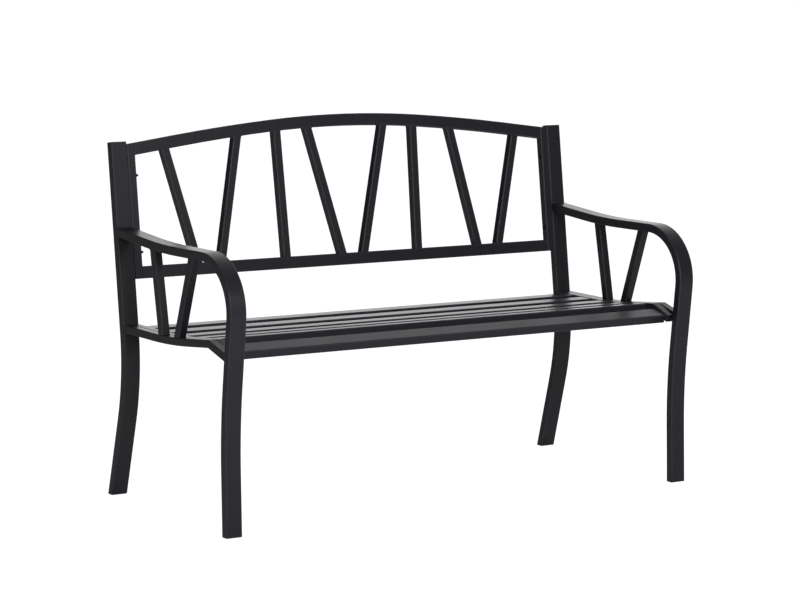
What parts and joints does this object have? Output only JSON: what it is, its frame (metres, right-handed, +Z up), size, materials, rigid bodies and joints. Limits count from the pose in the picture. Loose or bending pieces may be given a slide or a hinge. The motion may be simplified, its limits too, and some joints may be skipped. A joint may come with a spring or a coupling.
{
  "type": "garden bench",
  "caption": "Steel tube garden bench with a dipped slatted seat, bent arm-and-leg tubes and an arched back of splayed upright bars.",
  "frame": {"origin": "centre of the bench's footprint, on the floor that the feet stand on", "axes": "+X along the bench to the sitter's left, -Y to the front, +Z up"},
  "size_m": [1.27, 0.5708, 0.8632],
  "materials": {
    "side_frames": "satin black powder coat",
    "back_panel": "satin black powder coat",
    "seat_panel": "satin black powder coat",
    "fasteners": "black oxide steel",
    "plastic_ends": "moulded black polyethylene"
  },
  "bodies": {
    "root": {"back_bolt_nuts": "fasteners", "back_bolt_washers": "fasteners", "back_bolts": "fasteners", "back_bottom_rail": "back_panel", "back_top_rail": "back_panel", "front_foot_plugs": "plastic_ends", "left_arm_front_leg": "side_frames", "left_back_bar_1": "back_panel", "left_back_bar_2": "back_panel", "left_back_bar_3": "back_panel", "left_back_bar_4": "back_panel", "left_back_stile": "back_panel", "left_front_baluster": "side_frames", "left_rear_baluster": "side_frames", "left_rear_post": "side_frames", "left_seat_end_rail": "seat_panel", "left_seat_rail": "side_frames", "post_caps": "plastic_ends", "rear_foot_plugs": "plastic_ends", "right_arm_front_leg": "side_frames", "right_back_bar_1": "back_panel", "right_back_bar_2": "back_panel", "right_back_bar_3": "back_panel", "right_back_bar_4": "back_panel", "right_back_stile": "back_panel", "right_front_baluster": "side_frames", "right_rear_baluster": "side_frames", "right_rear_post": "side_frames", "right_seat_end_rail": "seat_panel", "right_seat_rail": "side_frames", "seat_bolt_washers": "fasteners", "seat_bolts": "fasteners", "seat_front_slat": "seat_panel", "seat_rivet_nuts": "fasteners", "seat_slat_1": "seat_panel", "seat_slat_2": "seat_panel", "seat_slat_3": "seat_panel", "seat_slat_4": "seat_panel", "seat_slat_5": "seat_panel", "seat_support": "seat_panel"}
  },
  "joints": []
}
